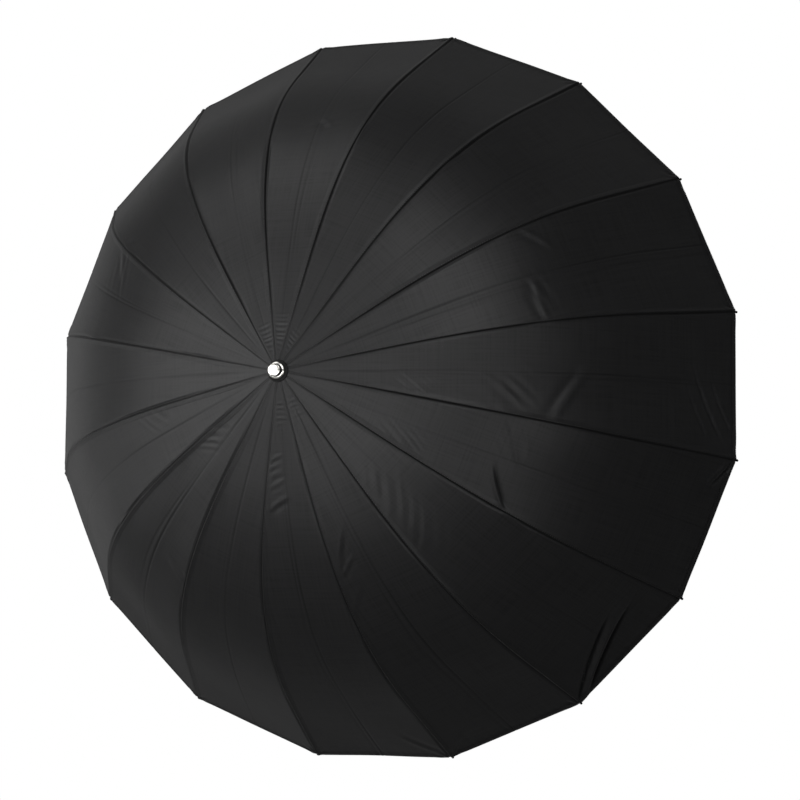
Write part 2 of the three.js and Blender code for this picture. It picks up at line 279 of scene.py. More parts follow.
# Puckers: gore, stretch along the rib, middle and spread across the gore, wavelength, lean, height
PUCKERS = (
    (2, (0.22, 0.50), 0.66, 0.18, 19.0, -0.74, 0.72),
    (1, (0.20, 0.34), 0.76, 0.18, 13.0, -1.10, 0.26),
    (0, (0.21, 0.33), 0.78, 0.20, 11.0, -0.76, 0.30),
    (0, (0.31, 0.52), 0.74, 0.20, 21.0, -1.03, 0.52),
    (1, (0.42, 0.52), 0.30, 0.16, 15.0, -0.66, 0.24),
    (4, (0.13, 0.26), 0.76, 0.16, 11.0, -0.20, 0.30),
    (3, (0.33, 0.42), 0.80, 0.14, 13.0, -0.80, 0.22),
    (7, (0.25, 0.38), 0.82, 0.16, 13.0, -0.55, 0.26),
    (6, (0.14, 0.26), 0.74, 0.20, 12.0, -0.50, 0.20),
    (9, (0.44, 0.58), 0.76, 0.20, 16.0, -0.50, 0.20),
    (15, (0.48, 0.58), 0.66, 0.22, 17.0, -0.45, 0.22),
    (12, (0.50, 0.64), 0.60, 0.24, 18.0, -0.50, 0.18),
    (11, (0.03, 0.12), 0.50, 0.40, 6.8, -0.20, 0.46),
    (12, (0.03, 0.13), 0.50, 0.40, 6.6, -0.15, 0.50),
    (13, (0.03, 0.10), 0.50, 0.40, 6.6, 0.20, 0.30),
    (3, (0.03, 0.12), 0.50, 0.40, 7.0, -0.20, 0.18),
    (4, (0.04, 0.13), 0.55, 0.35, 7.0, -0.20, 0.16),
)


def pucker(share, across, width, stretch, middle, spread, wavelength, lean, height):
    """Soft uneven ripples that lean over the gore and fade out towards their ends."""
    along = share * RIB_LENGTH
    place = across / width
    size = stretch[1] - stretch[0]
    window = smoothstep(share, stretch[0], stretch[0] + 0.4 * size)
    window = window * (1 - smoothstep(share, stretch[1] - 0.4 * size, stretch[1]))
    drift = 0.05 * np.sin(along / 9.1) + 0.04 * np.sin(along / 4.3 + 2)
    window = window * gaussian(place - middle - drift, spread)
    phase = 2 * math.pi * (along + lean * across + 4 * np.sin(across / 17)) / wavelength
    uneven = 0.85 + 0.25 * np.sin(phase * 0.37 + middle * 20) + 0.15 * np.sin(phase * 0.71)
    wave = np.sin(phase + 0.6 * np.sin(phase / 3.7) + 0.4 * np.sin(across / 11))
    return height * window * uneven * wave


def hem_relief(along, across):
    """The hem's double fold with its row of stitches, drawn in between them and rolled at the rim."""
    from_edge = RIB_LENGTH - along
    fold = 0.45 * (1 - smoothstep(from_edge, HEM - 1.2, HEM + 0.8))
    stitches = -0.3 * gaussian(from_edge - HEM + 2.5, 0.9)
    drawn = 0.16 * np.sin(across * 2 * math.pi / 11) * gaussian(from_edge - HEM, 6)
    rolled = -1.7 * (1 - smoothstep(from_edge, -1.5, 3.6))
    return fold + stitches + drawn + rolled


def tip_relief(gore, across, width, along):
    """Small gathers that fan out from the stitched pocket on each rib's end."""
    from_edge = RIB_LENGTH - along
    height = 0 * across
    for side, aside in ((0, across), (1, width - across)):
        distance = np.hypot(from_edge, aside)
        fan = np.arctan2(aside, from_edge + 1e-6)
        gathers = np.sin(fan * (9 + side) + 1.9 * gore + 2 * side)
        height = height + 0.55 * gathers * gaussian(distance - 13, 9) * smoothstep(aside, 1, 5)
    return height


def slack(gore, share, across, width):
    """Broad, faint unevenness of stretched cloth, different in every gore."""
    place = across / width
    belly = np.sin(math.pi * place)
    height = 0.5 * np.sin(share * 9 + gore * 2.1) * np.sin(2 * math.pi * place + gore)
    height += 0.35 * np.sin(share * 23 + gore * 1.3 + 3 * place)
    return height * belly * np.clip(width / 120, 0, 1)


def relief(gore, share, across, width):
    along = share * RIB_LENGTH
    height = seam_relief(gore, across, width, along)
    height += middle_folds(gore, across, width, along)
    height += hem_relief(along, across)
    height += tip_relief(gore, across, width, along)
    height += slack(gore, share, across, width)
    height += creases(gore, share, across, width)
    calm = smoothstep(np.minimum(across, width - across), 0.5, 6)
    for place, *shape in PUCKERS:
        if place == gore:
            height += calm * pucker(share, across, width, *shape)
    return height


def gore_width(share):
    return 2 * math.sin(HALF_GORE) * np.interp(share, spine_shares, spine_radii)


# ------------ the grid of the whole canopy

# The cloth of each rib is cut into pieces at these radii. The first cut is the hub's edge, and the
# second the disc under the washer.
HUB_EDGE = 4.8
HUB_DISC = 14.3
BLEND_END = 30
FLEX_RADIUS = float(np.interp(FLEX_SHARE, spine_shares, spine_radii))
CUT_RADII = (HUB_EDGE, HUB_DISC, BLEND_END, 50, 85, 140, 215, 285, FLEX_RADIUS, 440, 490, RIM_RADIUS)

ROW_STEP = 2.4
ROW_STEP_AT_HUB = 1.2


def rows_of_cloth():
    """Shares of the rib's length for every row, and the row numbers of the cuts."""
    shares = [share_at_radius(CUT_RADII[0])]
    cuts = [0]
    for start, end in zip(CUT_RADII, CUT_RADII[1:]):
        first = share_at_radius(start)
        last = share_at_radius(end)
        step = min(ROW_STEP, ROW_STEP_AT_HUB * (1 + start / 170))
        steps = round((last - first) * RIB_LENGTH / step)
        shares += list(np.linspace(first, last, steps + 1)[1:])
        cuts.append(len(shares) - 1)
    return np.array(shares), cuts


SEAM_COLUMNS = np.array([0, 0.07, 0.14, 0.22, 0.31, 0.42, 0.55, 0.68, 0.78, 0.86, 0.93, 1.0])
PANEL_COLUMNS = 26
MIDDLE_COLUMNS = np.array([0.8, 0.6, 0.4, 0.2, 0.0])


def half_columns(half_width):
    """Distances from the seam to the gore's middle: close together by the seam and the middle."""
    seam_zone = min(9.0, 0.4 * half_width)
    middle_zone = min(6.0, 0.25 * half_width)
    panel = np.linspace(seam_zone, half_width - middle_zone, PANEL_COLUMNS + 1)[1:]
    return np.concatenate([SEAM_COLUMNS * seam_zone, panel, half_width - MIDDLE_COLUMNS * middle_zone])


row_shares, cut_rows = rows_of_cloth()
HALF_COLUMNS = len(half_columns(1.0)) - 1
GORE_COLUMNS = 2 * HALF_COLUMNS
COLUMNS = RIBS * GORE_COLUMNS


def cloth_at(gore, share, across):
    """Points on the cloth's outside, and the flat panel's normals there."""
    radius, height = under_canopy(share)
    slope = slope_at(share)[..., None]
    width = gore_width(share)
    place = (across / width)[..., None]
    first = outwards(np.array(rib_angle(gore)))
    second = outwards(np.array(rib_angle(gore + 1)))
    points = ((1 - place) * first + place * second) * radius[..., None]
    points[..., 1] = height
    normals = np.sin(slope) * outwards(rib_angle(gore) + place[..., 0] * GORE_ANGLE)
    normals[..., 1:2] = -np.cos(slope)
    return points + normals * relief(gore, share, across, width)[..., None], normals


def canopy_grid():
    """Points and normals of the cloth's outside, as rows by columns, and for each point its
    distance from the gore's middle, from the apex, and how much painted shade it gets in a fold."""
    widths = gore_width(row_shares)
    halves = np.array([half_columns(width / 2) for width in widths])
    across = np.concatenate([halves, widths[:, None] - halves[:, -2:0:-1]], axis=1)
    share = row_shares[:, None] + 0 * across
    gores = range(RIBS)
    points = np.concatenate([cloth_at(gore, share, across)[0] for gore in gores], axis=1)
    # painted shade in seams and folds, passed to the cover's material as the weave attribute's third
    # value
    dark = np.concatenate([painted_groove_shade(gore, share, across, widths[:, None]) for gore in gores], axis=1)
    place = np.stack([across - widths[:, None] / 2, share * RIB_LENGTH], -1)
    weave = np.concatenate([np.tile(place, (1, RIBS, 1)), dark[..., None]], -1)
    around = np.roll(points, -1, axis=1) - np.roll(points, 1, axis=1)
    down = np.gradient(points, axis=0)
    return points, unit(np.cross(around, down)), weave


cloth_points, cloth_normals, cloth_weave = canopy_grid()


# ------------ meshes


def linked(name, data):
    """A new object in the scene for a mesh, a light or a camera."""
    made = bpy.data.objects.new(name, data)
    bpy.context.scene.collection.objects.link(made)
    return made


def grid_corners(grid):
    """The four corners of every quad in a grid."""
    return [grid[:-1, :-1], grid[:-1, 1:], grid[1:, 1:], grid[1:, :-1]]


def ring_corners(rings):
    """The four corners of every quad round stacks of closed rings."""
    after = np.roll(rings, -1, axis=2)
    return [rings[:, :-1], after[:, :-1], after[:, 1:], rings[:, 1:]]


COVER_SLOT, LINING_SLOT, THREAD_SLOT = range(3)  # a cloth piece's material slots


class Shell:
    """Collects faces with a normal for every corner, then becomes one object."""

    def __init__(self):
        self.points = []
        self.weave = []
        self.corners = []
        self.sizes = []
        self.slots = []
        self.smooth = []
        self.normals = []
        self.count = 0

    def add_points(self, points, weave):
        first = self.count
        self.points.append(points.reshape(-1, 3))
        self.weave.append(weave.reshape(-1, 3))
        self.count += self.points[-1].shape[0]
        return np.arange(first, self.count).reshape(points.shape[:-1])

    def add_faces(self, faces, normals, slot, smooth=True):
        """faces is an array of equal faces, normals one for each corner."""
        self.corners.append(faces.ravel())
        self.sizes.append(np.full(len(faces), faces.shape[1]))
        self.slots.append(np.full(len(faces), slot))
        self.smooth.append(np.full(len(faces), smooth))
        self.normals.append(np.broadcast_to(normals, (*faces.shape, 3)).reshape(-1, 3))

    def add_quads(self, corners, normals, slot):
        """corners and normals each hold four arrays, one for each corner."""
        faces = np.stack(corners, -1).reshape(-1, 4)
        self.add_faces(faces, np.stack(normals, -2).reshape(-1, 4, 3), slot)

    def object(self, name, materials):
        mesh = bpy.data.meshes.new(name)
        corners = np.concatenate(self.corners)
        sizes = np.concatenate(self.sizes)
        mesh.vertices.add(self.count)
        mesh.vertices.foreach_set("co", (np.concatenate(self.points) * MM).ravel())
        mesh.loops.add(len(corners))
        mesh.loops.foreach_set("vertex_index", corners)
        mesh.polygons.add(len(sizes))
        mesh.polygons.foreach_set("loop_start", np.cumsum(sizes) - sizes)
        mesh.polygons.foreach_set("material_index", np.concatenate(self.slots))
        mesh.update(calc_edges=True)
        mesh.polygons.foreach_set("use_smooth", np.concatenate(self.smooth))
        weave = mesh.attributes.new("weave", "FLOAT_VECTOR", "POINT")
        weave.data.foreach_set("vector", np.concatenate(self.weave).ravel())
        mesh.normals_split_custom_set(np.concatenate(self.normals))
        for material in materials:
            mesh.materials.append(material)
        return linked(name, mesh)


def add_wall(shell, outer, inner, points):
    """Closes an edge of the cloth between its outside and the lining."""
    faces = np.stack([outer[:-1], inner[:-1], inner[1:], outer[1:]], -1)
    corners = points[faces]
    normals = np.cross(corners[:, 2] - corners[:, 0], corners[:, 3] - corners[:, 1])
    lengths = np.linalg.norm(normals, axis=-1, keepdims=True)
    normals = normals / np.maximum(lengths, 1e-9)
    shell.add_faces(faces, normals[:, None], COVER_SLOT, smooth=False)


STITCH_PITCH = 3.6
STITCH_LENGTH = 2.8
THREAD_RADIUS = 0.2
SEAM_STITCHES = 1.9  # from the seam's middle
HEM_STITCHES = HEM - 2.5  # from the rim


def add_stitches(shell, gore, share, across):
    """Short rounded threads laid end to end along a line on the cloth."""
    points, normals = cloth_at(gore, share, across)
    run = np.concatenate([[0], np.cumsum(np.linalg.norm(np.diff(points, axis=0), axis=1))])
    starts = np.arange(0.5, run[-1] - STITCH_LENGTH, STITCH_PITCH)
    if not len(starts):
        return
    at = starts[:, None] + STITCH_LENGTH * np.array([0, 0.15, 0.5, 0.85, 1.0])
    middle = np.stack([np.interp(at, run, points[:, axis]) for axis in range(3)], -1)
    up = np.stack([np.interp(at, run, normals[:, axis]) for axis in range(3)], -1)
    ahead = unit(np.gradient(middle, axis=1))
    side = unit(np.cross(up, ahead))
    up = np.cross(ahead, side)
    thickness = THREAD_RADIUS * np.array([0.25, 0.8, 1.0, 0.8, 0.25])[:, None]
    lift = THREAD_RADIUS * np.array([-0.8, 0.1, 0.5, 0.1, -0.8])[:, None]
    middle = middle + up * lift
    turns = np.arange(6) * math.pi / 3
    spokes = np.cos(turns)[:, None] * up[..., None, :] + np.sin(turns)[:, None] * side[..., None, :]
    rings = middle[..., None, :] + spokes * thickness[..., None]
    grid = shell.add_points(rings, np.zeros_like(rings))
    shell.add_quads(ring_corners(grid), ring_corners(spokes), THREAD_SLOT)
    shell.add_faces(grid[:, 0, ::-1], -ahead[:, 0, None], THREAD_SLOT, smooth=False)
    shell.add_faces(grid[:, -1], ahead[:, -1, None], THREAD_SLOT, smooth=False)


def add_seam_stitches(shell, index, rows):
    share = np.linspace(row_shares[rows[0]], row_shares[rows[-1]], 3 * len(rows))
    add_stitches(shell, (index - 1) % RIBS, share, gore_width(share) - SEAM_STITCHES)


def add_hem_stitches(shell, index):
    share = np.full(60, 1 - HEM_STITCHES / RIB_LENGTH)
    width = gore_width(share)
    half = np.linspace(0.5, width[0] / 2, 60)
    add_stitches(shell, index, share, half)
    add_stitches(shell, (index - 1) % RIBS, share, width - half)


def cloth_piece(name, rows, columns, rib=None):
    """One closed piece of the canopy: cover outside, lining inside and walls round its edge."""
    picked = np.ix_(rows, columns % COLUMNS)
    outside = cloth_points[picked]
    normals = cloth_normals[picked]
    weave = cloth_weave[picked]
    shell = Shell()
    outer = shell.add_points(outside, weave)
    inner = shell.add_points(outside - normals * CLOTH, weave)
    shell.add_quads(grid_corners(outer), grid_corners(normals), COVER_SLOT)
    shell.add_quads(grid_corners(inner)[::-1], grid_corners(-normals)[::-1], LINING_SLOT)
    points = np.concatenate(shell.points)
    add_wall(shell, outer[0, ::-1], inner[0, ::-1], points)
    add_wall(shell, outer[-1], inner[-1], points)
    add_wall(shell, outer[:, 0], inner[:, 0], points)
    add_wall(shell, outer[::-1, -1], inner[::-1, -1], points)
    if rib is not None:
        add_seam_stitches(shell, rib, rows)
        if rows[-1] == len(row_shares) - 1:
            add_hem_stitches(shell, rib)
    return shell.object(name, [COVER, LINING, THREAD])


# ------------ materials


class Nodes:
    """Small helper that adds shader nodes to a material and links them."""

    def __init__(self, name):
        self.material = bpy.data.materials.new(name)
        self.material.use_nodes = True
        self.tree = self.material.node_tree
        self.shader = self.tree.nodes["Principled BSDF"]

    def add(self, kind, inputs=None, **settings):
        node = self.tree.nodes.new(kind)
        for key, value in settings.items():
            setattr(node, key, value)
        for key, value in (inputs or {}).items():
            self.link(value, node.inputs[key])
        return node

    def link(self, value, socket):
        if isinstance(value, bpy.types.NodeSocket):
            self.tree.links.new(value, socket)
        else:
            socket.default_value = value

    def maths(self, operation, first, second=0.0):
        return self.add("ShaderNodeMath", {0: first, 1: second}, operation=operation).outputs[0]

    def noise(self, vector, scale, detail=2.0, roughness=0.5):
        inputs = {"Vector": vector, "Scale": scale, "Detail": detail, "Roughness": roughness}
        return self.add("ShaderNodeTexNoise", inputs).outputs["Fac"]

    def stretched(self, vector, scale):
        return self.add("ShaderNodeMapping", {"Vector": vector, "Scale": scale}).outputs[0]

    def between(self, factor, low, high):
        """A value that goes from low to high as factor goes from 0 to 1."""
        inputs = {"Value": factor, "To Min": low, "To Max": high}
        return self.add("ShaderNodeMapRange", inputs).outputs[0]

    def mix_colour(self, factor, first, second):
        node = self.add("ShaderNodeMix", data_type="RGBA")
        self.link(factor, node.inputs[0])
        self.link((*first, 1), node.inputs[6])
        self.link((*second, 1), node.inputs[7])
        return node.outputs[2]

    def bump(self, height, distance, strength=1.0, normal=None):
        inputs = {"Height": height, "Distance": distance, "Strength": strength}
        if normal is not None:
            inputs["Normal"] = normal
        return self.add("ShaderNodeBump", inputs).outputs["Normal"]

    def finish(self, **values):
        for name, value in values.items():
            self.link(value, self.shader.inputs[name.replace("_", " ")])
        return self.material


def weave_height(nodes, pitch):
    """Plain weave: warp and weft waves in the cloth's own coordinates, in mm."""
    place = nodes.add("ShaderNodeAttribute", attribute_name="weave").outputs["Vector"]
    parts = nodes.add("ShaderNodeSeparateXYZ", {0: place}).outputs
    warp = nodes.maths("SINE", nodes.maths("MULTIPLY", parts[0], 2 * math.pi / pitch))
    weft = nodes.maths("SINE", nodes.maths("MULTIPLY", parts[1], 2 * math.pi / pitch))
    return place, nodes.maths("MULTIPLY", warp, weft)


def cover_material():
    """Black polyester, a plain weave with thick and thin threads both ways; its folds get painted
    shade.
    """
    nodes = Nodes("canopy_cover")
    place, weave = weave_height(nodes, 0.9)
    cloud = nodes.noise(place, 0.012, 3.0)
    warp = nodes.noise(nodes.stretched(place, (1, 0.03, 0)), 0.42, 3.0)
    weft = nodes.noise(nodes.stretched(place, (0.03, 1, 0)), 0.36, 3.0)
    threads = nodes.maths("ADD", warp, weft)
    painted_shade_mask = nodes.add("ShaderNodeSeparateXYZ", {0: place}).outputs[2]
    # painted shade: colour and gloss drop to 0.35 where the cloth lies in seams, folds and crease
    # valleys
    painted_fold_shade = nodes.between(painted_shade_mask, 1.0, 0.35)
    shade = nodes.maths("MULTIPLY", nodes.between(cloud, 0.86, 1.14), painted_fold_shade)
    uneven = nodes.between(nodes.maths("MULTIPLY", threads, 0.5), 0.3, 1.7)
    shade = nodes.maths("MULTIPLY", shade, uneven)
    colour = nodes.add("ShaderNodeVectorMath", {0: CLOTH_COLOUR}, operation="SCALE")
    nodes.link(shade, colour.inputs["Scale"])
    gloss = nodes.maths("MULTIPLY", nodes.between(threads, 0.145, 0.27), painted_fold_shade)
    return nodes.finish(
        Base_Color=colour.outputs[0],
        Roughness=nodes.between(nodes.noise(place, 0.05), 0.38, 0.43),
        Specular_IOR_Level=gloss,
        Sheen_Weight=0.075,
        Sheen_Roughness=0.4,
        Normal=nodes.bump(weave, 0.00005, 0.35, nodes.bump(threads, 0.00012, 0.35)),
    )


def lining_material():
    """Silver-coated cloth: the weave shows through a soft metallic sheen."""
    nodes = Nodes("canopy_lining")
    place, weave = weave_height(nodes, 1.1)
    cloud = nodes.noise(place, 0.02, 3.0)
    return nodes.finish(
        Base_Color=nodes.mix_colour(cloud, (0.60, 0.61, 0.62), (0.72, 0.73, 0.74)),
        Metallic=0.75,
        Roughness=nodes.between(cloud, 0.45, 0.56),
        Normal=nodes.bump(weave, 0.00006, 0.4),
    )


def object_noise(nodes, scale, detail=2.0):
    place = nodes.add("ShaderNodeTexCoord").outputs["Object"]
    return place, nodes.noise(place, scale, detail)


def metal_material(name, colour, darker, roughness, metallic=1.0):
    """Plated or painted metal: faint blotches, fine drawing marks along the piece."""
    nodes = Nodes(name)
    place, blotch = object_noise(nodes, 60.0, 4.0)
    fine = nodes.noise(place, 1400.0)
    return nodes.finish(
        Base_Color=nodes.mix_colour(blotch, colour, darker),
        Metallic=metallic,
        Roughness=nodes.between(blotch, roughness * 0.8, roughness * 1.25),
        Normal=nodes.bump(fine, 0.00002, 0.25),
    )


def moulding_material(name, shade, gloss):
    """Black moulded plastic or rubber with a fine grain."""
    nodes = Nodes(name)
    place, blotch = object_noise(nodes, 45.0, 3.0)
    grain = nodes.noise(place, 2600.0, 1.0)
    return nodes.finish(
        Base_Color=nodes.mix_colour(blotch, [shade] * 3, [2 * shade] * 3),
        Roughness=nodes.between(blotch, 0.42, 0.55),
        Specular_IOR_Level=gloss,
        Normal=nodes.bump(grain, 0.00003, 0.3),
    )


def rod_material():
    """Pultruded glass fibre: fine lines along the rod under a smooth dark skin."""
    nodes = Nodes("rib_rod")
    place, blotch = object_noise(nodes, 30.0, 2.0)
    return nodes.finish(
        Base_Color=nodes.mix_colour(blotch, (0.010, 0.010, 0.011), (0.020, 0.020, 0.022)),
        Roughness=nodes.between(nodes.noise(place, 900.0), 0.28, 0.42),
        Normal=nodes.bump(nodes.noise(place, 1800.0), 0.00002, 0.2),
    )


COVER = cover_material()
LINING = lining_material()
THREAD = metal_material("sewing_thread", (0.02, 0.02, 0.021), (0.035, 0.035, 0.036), 0.6, 0.0)
ROD = rod_material()
STRETCHER = metal_material("stretcher_steel", (0.035, 0.035, 0.037), (0.05, 0.05, 0.052), 0.4, 0.7)
PLATED = metal_material("plated_steel", (0.62, 0.62, 0.63), (0.5, 0.5, 0.51), 0.26)
CHROME = metal_material("finial_chrome", (0.80, 0.79, 0.75), (0.70, 0.69, 0.65), 0.2)
MOULDING = moulding_material("black_moulding", 0.007, 0.3)
RUBBER = moulding_material("washer_rubber", 0.005, 0.1)


# ------------ canopy pieces


def number(index):
    return str(index + 1).zfill(2)


def flat_area(outside):
    """Flat width, length and area in metres of a strip of cloth, from its rows of points."""
    steps_across = np.linalg.norm(np.diff(outside, axis=1), axis=-1).sum(1)
    middle = outside[:, outside.shape[1] // 2]
    steps_along = np.linalg.norm(np.diff(middle, axis=0), axis=-1)
    length = steps_along.sum()
    area = ((steps_across[1:] + steps_across[:-1]) / 2 * steps_along).sum()
    return steps_across.max() * MM, length * MM, area * MM * MM


def declare_cloth(rows, columns):
    """Works out the flat size of the piece's cloth, which is not used further, and hides the CAD
    canopy.
    """
    width, length, area = flat_area(cloth_points[np.ix_(rows, columns % COLUMNS)])
    area = min(area, width * length)
    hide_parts("canopy")


def fix_on_shaft(piece, node):
    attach(piece, "shaft_assembly")
    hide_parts(node)


def hub_disc():
    """The cover's centre, clamped under the washer."""
    rows = np.arange(cut_rows[0], cut_rows[1] + 1)
    columns = np.arange(COLUMNS + 1)
    piece = cloth_piece("cover_hub", rows, columns)
    fix_on_shaft(piece, "canopy")


def row_point(share, angle):
    radius, height = under_canopy(share)
    place = outwards(np.array(angle)) * radius
    place[1] = height
    return Vector(place * MM)


def rib_cloth(index):
    """The cloth that one rib carries, from the middle of one gore to the middle of the next."""
    angle = rib_angle(index)
    columns = index * GORE_COLUMNS + np.arange(-HALF_COLUMNS, HALF_COLUMNS + 1)
    for part in range(1, len(cut_rows) - 1):
        rows = np.arange(cut_rows[part], cut_rows[part + 1] + 1)
        piece = cloth_piece(f"cover_{number(index)}_{part}", rows, columns, index)
        first = row_shares[rows[0]]
        last = row_shares[rows[-1]]
        past_flex = first > FLEX_SHARE - 0.001
        body = ("rib_end_" if past_flex else "rib_") + number(index)
        node = ("rib_outer_" if past_flex else "rib_inner_") + number(index)
        if part == 1:
            start = row_point(first, angle)
            end = row_point(last, angle)
            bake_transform(piece)
        else:
            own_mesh(piece)
            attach(piece, body)
        declare_cloth(rows, columns)


# ------------ ribs and their fittings
# Each is built in the rib's plane, in mm: X outwards from the shaft, Y along it, Z across the rib.


def tube(shell, line, radii, sides=14):
    """A closed round tube along a line in the plane, with its radius at every point."""
    line = np.array(line, float)
    radii = np.array(radii, float)
    ahead = unit(np.gradient(line, axis=0))
    side = np.stack([-ahead[:, 1], ahead[:, 0]], -1)
    turns = np.arange(sides) * 2 * math.pi / sides
    spokes = np.zeros((len(line), sides, 3))
    spokes[..., :2] = side[:, None] * np.cos(turns)[None, :, None]
    spokes[..., 2] = np.sin(turns)
    rings = spokes * radii[:, None, None]
    rings[..., :2] += line[:, None]
    grid = shell.add_points(rings, np.zeros_like(rings))
    shell.add_quads(ring_corners(grid[None])[::-1], ring_corners(spokes[None])[::-1], 0)
    forwards = np.append(ahead[-1], 0)
    backwards = np.append(-ahead[0], 0)
    shell.add_faces(grid[:1], backwards, 0, smooth=False)
    shell.add_faces(grid[-1:, ::-1], forwards, 0, smooth=False)


def rod_point(share):
    """The rod's centre; past the rib's end the line runs straight on."""
    radius, height = under_canopy(min(share, 1), ROD_DEPTH)
    beyond = max(share - 1, 0) * RIB_LENGTH
    return radius + beyond * math.cos(RIM_SLOPE), height + beyond * math.sin(RIM_SLOPE)


def share_of(length):
    return length / RIB_LENGTH


ROOT_START = 0.033  # share of the rib where the rod starts, in its steel root
ROOT_END = 0.06


def rod_shape():
    """The bare rod from its steel root to the knobbed pin that stands out past the hem."""
    shell = Shell()
    shares = list(np.linspace(ROOT_START, 1 - share_of(9), 90))
    radii = [ROD_RADIUS] * len(shares)
    pin = [(-8, 1.6), (-7.6, 1.3), (2.6, 1.3)]
    knob = [(3.2, 1.6), (4.6, 1.75), (5.7, 1.5), (6.2, 1.0), (6.5, 0.2)]
    for beyond, radius in pin + knob:
        shares.append(1 + share_of(beyond))
        radii.append(radius)
    tube(shell, [rod_point(share) for share in shares], radii)
    return shell


def along_rod(share, ahead, outward):
    """A point beside the rod: ahead along it and outward from its centre, in mm."""
    slope = slope_at(share)
    x, y = rod_point(share)
    along = np.array([math.cos(slope), math.sin(slope)])
    under = np.array([-math.sin(slope), math.cos(slope)])
    return np.array([x, y]) + ahead * along + outward * under


def plate(outline, thickness, bevel):
    """A bevelled plate or block in the rib's plane, made from an outline."""
    mesh = bmesh.new()
    low = [mesh.verts.new((x, y, -thickness / 2)) for x, y in outline]
    face = mesh.faces.new(low)
    grown = bmesh.ops.extrude_face_region(mesh, geom=[face])["geom"]
    raised = [item for item in grown if isinstance(item, bmesh.types.BMVert)]
    bmesh.ops.translate(mesh, verts=raised, vec=(0, 0, thickness))
    bmesh.ops.recalc_face_normals(mesh, faces=mesh.faces)
    sharp = [edge for edge in mesh.edges if edge.calc_face_angle(0) > math.radians(50)]
    bmesh.ops.bevel(mesh, geom=sharp, offset=bevel, segments=2, affect="EDGES", profile=0.5)
    return mesh


def arc(centre, radius, start, end, steps):
    angles = np.linspace(math.radians(start), math.radians(end), steps)
    return [(centre[0] + radius * math.cos(a), centre[1] + radius * math.sin(a)) for a in angles]


PIVOT = (14.0, APEX_Y + 7.6)  # of the rib, on the notch's ring wire
EYE_RADIUS = 2.4
BLADE = 2.0  # thickness of the flat root
RIVET_DROP = 7.0  # from the rod's centre to the stretcher's rivet
CLIP = (8.0, 4.8, -1.7, 2.3)  # half length, width, top and bottom under the rod's centre
TAB = 1.6  # thickness of the tab that holds the rivet
TAB_ROUND = math.degrees(0.3)  # where the tab's rounded end starts


def joined(name, meshes, material):
    """One object from several bmeshes, in metres."""
    whole = bpy.data.meshes.new(name)
    union = bmesh.new()
    for part in meshes:
        scratch = bpy.data.meshes.new("scratch")
        part.to_mesh(scratch)
        union.from_mesh(scratch)
        bpy.data.meshes.remove(scratch)
    bmesh.ops.scale(union, verts=union.verts, vec=(MM, MM, MM))
    for face in union.faces:
        face.smooth = True
    union.to_mesh(whole)
    whole.materials.append(material)
    whole.set_sharp_from_angle(angle=math.radians(35))
    return linked(name, whole)


def eye_outline():
    """The flat root: a round eye that runs into a narrow shank on the rod."""
    end = np.array(rod_point(0.046))
    eye = np.array(PIVOT)
    heading = math.degrees(math.atan2(end[1] - eye[1], end[0] - eye[0]))
    side = unit(np.array([eye[1] - end[1], end[0] - eye[0]])) * 1.5
    round_eye = arc(PIVOT, EYE_RADIUS, heading + 50, heading + 310, 22)
    return [*round_eye, tuple(end - side), tuple(end + side)]


def clip_outline():
    half, _, top, bottom = CLIP
    corners = ((-half, top), (half, top), (half, bottom), (-half, bottom))
    return [tuple(along_rod(BRACKET_SHARE, *corner)) for corner in corners]


def tab_outline():
    half = 2.4
    round_end = arc((0, RIVET_DROP), half, TAB_ROUND, 180 - TAB_ROUND, 9)
    corners = [(-half, 0), (half, 0), (half, RIVET_DROP), *round_end, (-half, RIVET_DROP)]
    return [tuple(along_rod(BRACKET_SHARE, *corner)) for corner in corners]


def ring_mesh(rings):
    """A bmesh skin over equal rings of points, and its vertices ring by ring."""
    mesh = bmesh.new()
    rings = [[mesh.verts.new(point) for point in ring] for ring in rings]
    for first, second in zip(rings, rings[1:]):
        for side in range(len(first)):
            after = (side + 1) % len(first)
            mesh.faces.new((first[side], first[after], second[after], second[side]))
    return mesh, rings


def lathe_across(centre, profile, sides=20):
    """A body turned about an axis across the rib, from (radius, across) pairs."""
    turns = np.arange(sides) * 2 * math.pi / sides
    mesh, rings = ring_mesh(
        [(centre[0] + radius * math.cos(a), centre[1] + radius * math.sin(a), across) for a in turns]
        for radius, across in profile
    )
    mesh.faces.new(rings[0][::-1])
    mesh.faces.new(rings[-1])
    return mesh


def fittings_shapes():
    """Root, crimp, clip, tab and rivet of a rib: the steel that stays with its inner section."""
    rivet = tuple(along_rod(BRACKET_SHARE, 0, RIVET_DROP))
    head = ((0.5, -3.1), (1.3, -2.95), (1.7, -2.5), (1.7, -2.3), (1.0, -2.2))
    profile = [*head, *[(radius, -across) for radius, across in reversed(head)]]
    return [
        plate(eye_outline(), BLADE, 0.25),
        plate(clip_outline(), CLIP[1], 0.9),
        plate(tab_outline(), TAB, 0.2),
        lathe_across(rivet, profile),
    ]


def sleeve_shape(start, end, radius):
    """A crimped steel sleeve on the rod between two shares, with three pinches."""
    shell = Shell()
    places = np.linspace(0, 1, 25)
    pinch = 1 - 0.12 * sum(gaussian(places - middle, 0.05) for middle in (0.25, 0.5, 0.75))
    ends = np.minimum(1, 0.75 + 5 * np.minimum(places, 1 - places))
    line = [rod_point(start + (end - start) * place) for place in places]
    tube(shell, line, radius * pinch * ends)
    return shell


def in_place(piece, index):
    """Turns a piece from the rib's plane to where its rib stands."""
    piece.data.transform(Matrix.Rotation(rib_angle(index), 4, "Y"))
    return piece


rod_model = rod_shape()
root_model = sleeve_shape(ROOT_START, ROOT_END, 2.1)
ferrule_model = sleeve_shape(FLEX_SHARE + share_of(1.5), FLEX_SHARE + share_of(13), 2.1)
fittings_model = joined("fittings_model", fittings_shapes(), PLATED)


